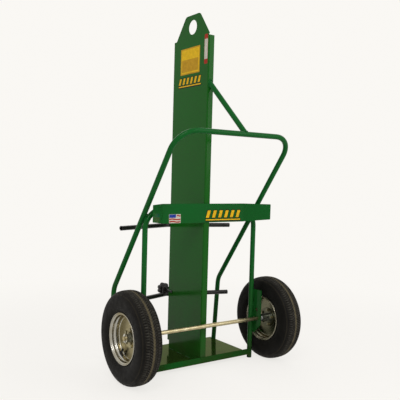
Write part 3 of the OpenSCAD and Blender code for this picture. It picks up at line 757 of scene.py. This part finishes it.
# rubber boot round the valve where it leaves the well: ovals stacked towards the axle and bent to
# the well's curve, size * halfWide * cos(t) round it and size * halfDeep * sin(t) along it
def buildValveBoot(side):
    wheel, stem = centre(side + "_tyre"), centre(side + "_valve_stem")
    place = math.atan2(stem.y - wheel.y, stem.z - wheel.z)
    size, up = np.array(boot["rows"]).T[:, :, None]
    t = fullTurn(boot["segments"])[None, :]
    r = boot["seat"] - up * boot["height"]
    a = place + size * boot["halfWide"] * np.cos(t) / boot["seat"]
    along = stem.x + size * boot["halfDeep"] * np.sin(t)
    points = grid(along, wheel.y + r * np.sin(a), wheel.z + r * np.cos(a))
    quads = gridFaces(len(boot["rows"]), boot["segments"], True, True)[:, ::-1]
    piece = meshFrom(side + "_valve_boot", points, quads, [butylRubber])
    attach(piece, side + "_wheel")


for side, sign in sides:
    buildValveBoot(side)
print("valve boots")


knob = {
    "radius": 0.032,
    "lobes": 7,
    "lobeDepth": 0.20,
    "lobePower": 0.9,
    "perLobe": 20,
    "boss": 0.012,
    "bossLength": 0.008,
    "head": 0.027,
    "bore": 0.0087,
    "throughBore": 0.0067,
    "boreEnd": 0.0284,       # height at which the insert's bore gives way to the stud's
}


# rows of (radius, height, how much of the lobes shows), carried round the stud
def knobRows():
    wide, boss, low, bore = (knob[key] for key in ("radius", "boss", "bossLength", "bore"))
    narrow, boreEnd, top = knob["throughBore"], knob["boreEnd"], low + knob["head"]
    return np.array([
        [bore, 0, 0], [boss - 0.0008, 0, 0], [boss, 0.0008, 0], [boss, low - 0.001, 0],
        [boss + 0.003, low, 0.2], [wide * 0.80, low + 0.0003, 1], [wide * 0.94, low + 0.0016, 1],
        [wide, low + 0.005, 1], [wide, top - 0.008, 1], [wide * 0.97, top - 0.004, 1],
        [wide * 0.88, top - 0.0012, 1], [wide * 0.76, top, 0.9], [wide * 0.50, top - 0.0006, 0.3],
        [wide * 0.42, top - 0.002, 0], [0.0105, top - 0.002, 0], [0.0100, top, 0], [0.0075, top, 0],
        [narrow, top - 0.0006, 0], [narrow, boreEnd, 0], [bore, boreEnd - 0.0002, 0],
    ])


# radius times 1 - depth * (1 - |cos(lobes * a / 2)| ^ power): round bumps between pinched valleys
def buildKnob(clamp):
    low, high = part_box(clamp + "_knob")
    middle = (low + high) / 2
    rows = knobRows()
    a = fullTurn(knob["lobes"] * knob["perLobe"])[None, :]
    valley = 1 - np.abs(np.cos(a * knob["lobes"] / 2)) ** knob["lobePower"]
    r = rows[:, 0][:, None] * (1 - knob["lobeDepth"] * rows[:, 2][:, None] * valley)
    points = grid(middle.x + r * np.cos(a), low.y + rows[:, 1][:, None], middle.z + r * np.sin(a))
    quads = gridFaces(len(rows), a.shape[1], True, True)
    piece = meshFrom(clamp + "_star_knob", points, quads, [blackPlastic])
    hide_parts(clamp + "_knob")
    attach(piece, clamp + "_screw_knob")


for clamp in clamps:
    buildKnob(clamp)
print("knobs")


# weld beads, in millimetres: x across, y from the axle, z over the ground
weld = {
    "radius": 2.2,
    "fine": 1.8,
    "heavy": 2.6,
    "tabRadius": 1.9,
    "braceRadius": 2.4,
    "ripple": 3.5,           # length of one ripple
    "rippleShare": 0.16,
    "step": 1.2,
    "round": 8,              # points round a bead
    "ring": 13.2,            # radius of a bead round the frame's tube
    "deckTop": 23.4,
    "deckSeam": (2.3, 36, 296),          # beside the firewall: x, then y from and to
    "deckStitch": 42,
    "post": (309.3, 38.0),
    "postArc": (98, 240),
    "handleFoot": (311.3, 338.9),
    "footArc": (96, 262),
    "lipSeam": (5.5, 26.2, 25, 46),      # inside of the post, y, z from and to
    "bracketSeam": (321.0, 7, 136, 338), # x, before the post, z from and to
    "bracketStitch": 32,
    "hoopTop": 750,
    "restSeam": (27.0, 40, 205),         # y, then x from and to
    "restStitch": 40,
    "nip": 7.2,              # half the distance of the two beads where a tube touches
    "handleTouch": (303.2, 44.9, 714.3),
    "handleWay": (-0.30, -0.32, 0.90),
    "handleAside": (0.66, -0.75, -0.05),
    "handleSeam": 17,
    "hoopReach": {-1: 128, 1: 122},      # how far round the top run the bead at the firewall goes
    "hoopAside": 2.2,
    "braceTop": (13.4, 24.7, 1327.0),
    "braceOval": (12.9, 18.4),
    "braceFoot": (36.0, -213.93, 1086.0),
    "saddle": (13.9, 13.0),  # radii of the saddle curve on the crossbar and on the brace
    "clampHeights": {"upper": 649, "lower": 294},
    "studUp": 22.5,
    "studSeam": (2.4, 6.0, 285, 313),    # x, above and below the stud, y from and to
    "barY": 341.3,
    "tabUp": 11.0,
    "tabAside": 3.4,
    "tabSeam": (9, 18),
}


def inMetres(points):
    return np.asarray(points, dtype=float) / 1000 + (0, axleY, 0)


# a bead is a round section carried along the path: radius * (1 - share + share * |cos(pi * s / ripple)|)
# at a length s, closing to a point at both ends
def beadGrid(path, radius):
    run = np.concatenate(([0], np.cumsum(np.linalg.norm(np.diff(path, axis=0), axis=1))))
    s = np.linspace(0, run[-1], max(int(run[-1] / weld["step"]), 4))
    points = np.stack([np.interp(s, run, path[:, k]) for k in range(3)], axis=-1)
    tangent = np.gradient(points, axis=0)
    tangent /= np.linalg.norm(tangent, axis=1, keepdims=True)
    one = np.cross(tangent, (0.31, 0.47, 0.83))              # any way that no bead runs along
    one /= np.linalg.norm(one, axis=1, keepdims=True)
    two = np.cross(tangent, one)
    share = weld["rippleShare"]
    swell = radius * (1 - share + share * np.abs(np.cos(np.pi * s / weld["ripple"])))
    swell = swell * np.sqrt(np.clip(np.minimum(s, s[-1] - s) / (radius * 1.2), 0, 1)) + 0.01
    a = fullTurn(weld["round"])[None, :, None]
    ring = np.cos(a) * one[:, None, :] + np.sin(a) * two[:, None, :]
    return points[:, None, :] + ring * swell[:, None, None]


# all the beads of one set as one piece, each closed by three faces at both ends
def buildBeads(name, body, mat, runs):
    points, quads, base = [], [], 0
    caps = np.array([[0, 1, 2, 3], [0, 3, 4, 7], [4, 5, 6, 7]])
    for path, radius in runs:
        bead = beadGrid(path, radius)
        rows, cols = bead.shape[:2]
        tube = gridFaces(rows, cols, False, True)[:, ::-1]
        quads.append(np.vstack((tube, caps[:, ::-1], caps + (rows - 1) * cols)) + base)
        points.append(bead.reshape(-1, 3))
        base += rows * cols
    piece = meshFrom(name, inMetres(np.vstack(points)), np.vstack(quads), [mat])
    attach(piece, body)


def straight(start, end, radius=weld["radius"]):
    return np.array((start, end), dtype=float), radius


# a row of short beads of one length, evenly spread from start to end
def stitches(start, end, count, length):
    start, end = np.array(start, float), np.array(end, float)
    run = np.linalg.norm(end - start)
    way = (end - start) / run
    starts = np.linspace(0, run - length, count)
    return [straight(start + way * s, start + way * (s + length)) for s in starts]


# middle + cos(t) * wide * one + sin(t) * high * two, for angles in degrees
def ringRun(middle, one, two, wide, high, start, end, radius=weld["radius"]):
    t = np.radians(np.linspace(start, end, 60))[:, None]
    return np.array(middle) + np.cos(t) * wide * np.array(one) + np.sin(t) * high * np.array(two), radius


# on one side of the deck: the firewall's foot, the post, the handle's leg, and the post against the lip
def deckBeads(s):
    top, ring = weld["deckTop"], weld["ring"]
    (postX, postY), (footX, footY) = weld["post"], weld["handleFoot"]
    seamX, seamFrom, seamTo = weld["deckSeam"]
    inside, lipY, lipFrom, lipTo = weld["lipSeam"]
    lipX = s * (postX - inside)
    across, along = (s, 0, 0), (0, 1, 0)
    runs = stitches((seamX * s, seamFrom, top), (seamX * s, seamTo, top), 4, weld["deckStitch"])
    runs.append(ringRun((postX * s, postY, top), across, along, ring, ring, *weld["postArc"]))
    runs.append(ringRun((footX * s, footY, top), across, along, ring, ring, *weld["footArc"]))
    runs.append(straight((lipX, lipY, lipFrom), (lipX, lipY, lipTo), weld["fine"]))
    return runs


# on one side of the hoop: the axle bracket, the cylinder rest, the handle's leg, and the firewall's notch
def hoopBeads(s):
    postY, top, ring, nip = weld["post"][1], weld["hoopTop"], weld["ring"], weld["nip"]
    bracketX, before, low, high = weld["bracketSeam"]
    restY, restFrom, restTo = weld["restSeam"]
    bracketX, bracketY = s * bracketX, postY - before
    runs = stitches((bracketX, bracketY, low), (bracketX, bracketY, high), 4, weld["bracketStitch"])
    for z in (top - nip, top + nip):
        runs += stitches((s * restFrom, restY, z), (s * restTo, restY, z), 2, weld["restStitch"])
    touch, way, aside = (np.array(weld[key]) for key in ("handleTouch", "handleWay", "handleAside"))
    reach = way * weld["handleSeam"]
    for shift in (-nip, nip):
        middle = touch + aside * shift
        runs.append(straight((middle - reach) * (s, 1, 1), (middle + reach) * (s, 1, 1), weld["heavy"]))
    turn = weld["hoopReach"][s]
    runs.append(ringRun((weld["hoopAside"] * s, postY, top), (0, 1, 0), (0, 0, 1), ring, ring, -turn, turn))
    return runs


# the brace: an oval round its top, and at its foot the curve where its tube meets the crossbar's
def braceBeads():
    top, foot = np.array(weld["braceTop"]), np.array(weld["braceFoot"])
    barRadius, tubeRadius = weld["saddle"]
    way = (foot - top) / np.linalg.norm(foot - top)
    across = np.cross(way, np.cross((1, 0, 0), way))
    across /= np.linalg.norm(across)
    t = np.radians(np.linspace(0, 360, 90))[:, None]
    reach = np.sqrt(barRadius ** 2 - (tubeRadius * np.sin(t)) ** 2)
    saddle = foot - way * reach + tubeRadius * (np.cos(t) * across + np.sin(t) * np.cross(way, across))
    oval = ringRun(top, (1, 0, 0), (0, 0, 1), *weld["braceOval"], 0, 360, weld["braceRadius"])
    return [oval, (saddle, weld["braceRadius"])]


# both clamp studs, each with four beads along the firewall
def studBeads():
    aside, apart, seamFrom, seamTo = weld["studSeam"]
    runs = []
    for height in weld["clampHeights"].values():
        for s in (-1, 1):
            for rise in (-apart, apart):
                z = height + weld["studUp"] + rise
                runs.append(straight((aside * s, seamFrom, z), (aside * s, seamTo, z), weld["fine"]))
    return runs


# four short beads along the foot of a clamp's tab, clear of the stop nut's corners
def tabBeads(clamp):
    z = weld["clampHeights"][clamp] + weld["tabUp"]
    near, far = weld["tabSeam"]
    runs = []
    for s in (-1, 1):
        for y in (weld["barY"] - weld["tabAside"], weld["barY"] + weld["tabAside"]):
            runs.append(straight((near * s, y, z), (far * s, y, z), weld["tabRadius"]))
    return runs


buildBeads("weld_beads_deck", "frame", tubeGreen, deckBeads(-1) + deckBeads(1))
buildBeads("weld_beads_hoop", "frame", tubeGreen, hoopBeads(-1) + hoopBeads(1))
buildBeads("weld_beads_brace", "frame", tubeGreen, braceBeads())
buildBeads("weld_beads_studs", "frame", tubeGreen, studBeads())
for clamp in clamps:
    buildBeads("weld_beads_" + clamp + "_tab", clamp + "_bar", blackPaint, tabBeads(clamp))
print("welds")


# decals: thin vinyl plates with plain bars and bands, sizes in millimetres on the face they lie on
decal = {
    "colours": {
        "gold": (0.74, 0.46, 0.014),
        "ochre": (0.50, 0.28, 0.016),
        "amber": (0.72, 0.43, 0.012),
        "ink": (0.012, 0.014, 0.012),
        "red": (0.36, 0.030, 0.016),
        "cream": (0.58, 0.54, 0.47),
        "blue": (0.020, 0.045, 0.30),
    },
    "faded": 0.78,           # the darker patches' share of the colour
    "rough": (0.28, 0.42),
    "mottle": 60,
    "grain": 400,
    "thick": 0.20,
    "layer": 0.06,           # how far each further layer stands over the last
    "sunk": 0.05,
    "bevel": 0.3,
    "bevelFrom": 0.7,        # share of the height
    "edge": 3.4,             # width of the dark edge round a bar
    "barShare": 0.50,        # a bar's share of the row's pitch
    "barsFoot": 0.36,        # the bars start and the underline lies at these shares of the height
    "lineFoot": 0.12,
    "line": 5.5,
    "lineEdge": (2, 4, 5, 7),            # the dark edge's left, right, bottom, top from the underline's foot
    "face": -1.6,            # the firewall's left face
    "restFront": 22.0,
}


def vinyl(name):
    base = decal["colours"][name]
    faded = [part * decal["faded"] for part in base]
    mat, shader = newMaterial("vinyl " + name, base, 0.35, 0, 0.06)
    colour = tint(mat, addNoise(mat, decal["mottle"], 0, 1, 4), base, faded)
    gloss = addNoise(mat, decal["mottle"], *decal["rough"])
    connect(mat, shader, colour, gloss, addNoise(mat, decal["grain"], 0, 1, 1.0), grainHeight)
    return mat


vinyls = {name: vinyl(name) for name in decal["colours"]}


# rectangle with rounded corners, as a ring of points
def rounded(left, right, bottom, top, r):
    corners = (
        (right - r, top - r, 0), (left + r, top - r, 90),
        (left + r, bottom + r, 180), (right - r, bottom + r, 270),
    )
    return np.vstack([arc(x, y, r, start, start + 90, 5) for x, y, start in corners])


# a row of equal bars that lean to the right
def leaningBars(left, right, bottom, top, count, lean):
    pitch = (right - left - lean) / (count - 1 + decal["barShare"])
    wide = pitch * decal["barShare"]
    bar = np.array([[0, bottom], [wide, bottom], [wide + lean, top], [lean, top]])
    return [bar + (x, 0) for x in left + pitch * np.arange(count)]


# band between two sine curves, its ends upright
def waveBand(left, right, bottom, top, swing):
    x = np.linspace(left, right, 25)
    wave = swing * np.sin((x - left) / (right - left) * 2 * np.pi)
    return np.vstack((np.stack((x, bottom + wave), axis=-1), np.stack((x, top + wave), axis=-1)[::-1]))


def grown(ring, by):
    return ring + np.sign(ring - ring.mean(axis=0)) * by


def onFirewall(ring, out):
    return inMetres(grid(decal["face"] - out, -ring[:, 0], ring[:, 1]))


def onRest(ring, out):
    return inMetres(grid(ring[:, 0], decal["restFront"] - out, ring[:, 1]))


# each outline becomes a closed plate: a back just under the surface, sides, a bevel, and a front
def buildDecal(name, place, plates):
    verts, faces, mats = [], [], []
    used = list(dict.fromkeys(key for key, ring, layer in plates))
    for key, ring, layer in plates:
        count, base = len(ring), len(verts)
        height = decal["thick"] + decal["layer"] * layer
        middle = ring.mean(axis=0)
        inner = middle + (ring - middle) * (1 - decal["bevel"] / np.abs(ring - middle).max())
        for points, out in ((ring, -decal["sunk"]), (ring, height * decal["bevelFrom"]), (inner, height)):
            verts.extend(map(tuple, place(points, out)))
        faces.append([base + i for i in range(count)][::-1])
        for low in (base, base + count):
            for i in range(count):
                after = (i + 1) % count
                faces.append([low + i, low + after, low + count + after, low + count + i])
        faces.append([base + 2 * count + i for i in range(count)])
        mats.extend([used.index(key)] * (2 + 2 * count))
    mesh = bpy.data.meshes.new(name)
    mesh.from_pydata(verts, [], faces)
    for key in used:
        mesh.materials.append(vinyls[key])
    mesh.polygons.foreach_set("material_index", mats)
    mesh.update()
    piece = bpy.data.objects.new(name, mesh)
    bpy.context.scene.collection.objects.link(piece)
    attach(piece, "frame")


# bars with a dark edge over an underline with a dark edge
def barsAndLine(left, right, bottom, top, count, lean):
    bars = leaningBars(left, right, bottom + (top - bottom) * decal["barsFoot"], top, count, lean)
    line = bottom + (top - bottom) * decal["lineFoot"]
    outLeft, outRight, down, up = decal["lineEdge"]
    return [
        *(("ink", grown(bar, decal["edge"]), 0) for bar in bars),
        *(("amber", bar, 1) for bar in bars),
        ("ink", rounded(left - outLeft, right + outRight, line - down, line + up, 1), 0),
        ("amber", rounded(left, right, line, line + decal["line"], 1), 1),
    ]


# outlines as left, right, bottom, top, then the corner's radius or the wave's swing, and the layer
buildDecal("gold_panel", onFirewall, [
    ("ochre", rounded(-255, -95, 1388, 1513, 4), 0),
    ("gold", rounded(-249, -101, 1394, 1507, 2), 1),
    ("ochre", rounded(-243, -107, 1400, 1459, 2), 2),
])
buildDecal("edge_strip", onFirewall, [
    ("red", rounded(-60, -34, 1419, 1555, 6), 0),
    ("cream", rounded(-59, -35, 1441, 1533, 1), 1),
])
buildDecal("firewall_bars", onFirewall, barsAndLine(-268, -82, 1324, 1372, 6, 10))
buildDecal("rest_bars", onRest, barsAndLine(6, 211, 689, 742, 6, 10))
buildDecal("banded_sticker", onRest, [
    ("cream", rounded(-197, -135, 687, 727, 1.5), 0),
    ("blue", rounded(-196, -160, 711, 726, 0.8), 1),
    ("red", waveBand(-156, -136, 717, 723, 1.2), 1),
    ("red", waveBand(-196, -136, 701, 707, 1.6), 1),
    ("red", waveBand(-196, -136, 690, 696, 1.6), 1),
])
print("decals")


# plain floor that turns into the backdrop with distance, and keeps the shadow near the cart
def buildFloor():
    mat, shader = newMaterial("floor", look["floorColour"], 0.7)
    glow = newNode(mat, "ShaderNodeEmission")
    glow.inputs["Color"].default_value = (*look["backdrop"], 1)
    spot = newNode(mat, "ShaderNodeNewGeometry")
    far = newNode(mat, "ShaderNodeVectorMath")
    far.operation = "LENGTH"
    link(mat, spot.outputs["Position"], far.inputs[0])
    fade = newNode(mat, "ShaderNodeMapRange")
    fade.inputs["From Min"].default_value, fade.inputs["From Max"].default_value = look["floorFade"]
    fade.inputs["To Min"].default_value = look["floorGlow"]
    fade.interpolation_type = "SMOOTHSTEP"
    link(mat, far.outputs["Value"], fade.inputs["Value"])
    both = newNode(mat, "ShaderNodeMixShader")
    link(mat, mathOn(mat, "MULTIPLY", backdropRay(mat.node_tree), fade.outputs["Result"]), both.inputs[0])
    link(mat, shader.outputs[0], both.inputs[1])
    link(mat, glow.outputs[0], both.inputs[2])
    link(mat, both.outputs[0], mat.node_tree.nodes["Material Output"].inputs["Surface"])
    half = look["floorHalf"]
    mesh = bpy.data.meshes.new("floor")
    corners = [(-half, -half, 0), (half, -half, 0), (half, half, 0), (-half, half, 0)]
    mesh.from_pydata(corners, [], [(0, 1, 2, 3)])
    mesh.materials.append(mat)
    floor = bpy.data.objects.new("floor", mesh)
    bpy.context.scene.collection.objects.link(floor)


buildFloor()
print("floor")
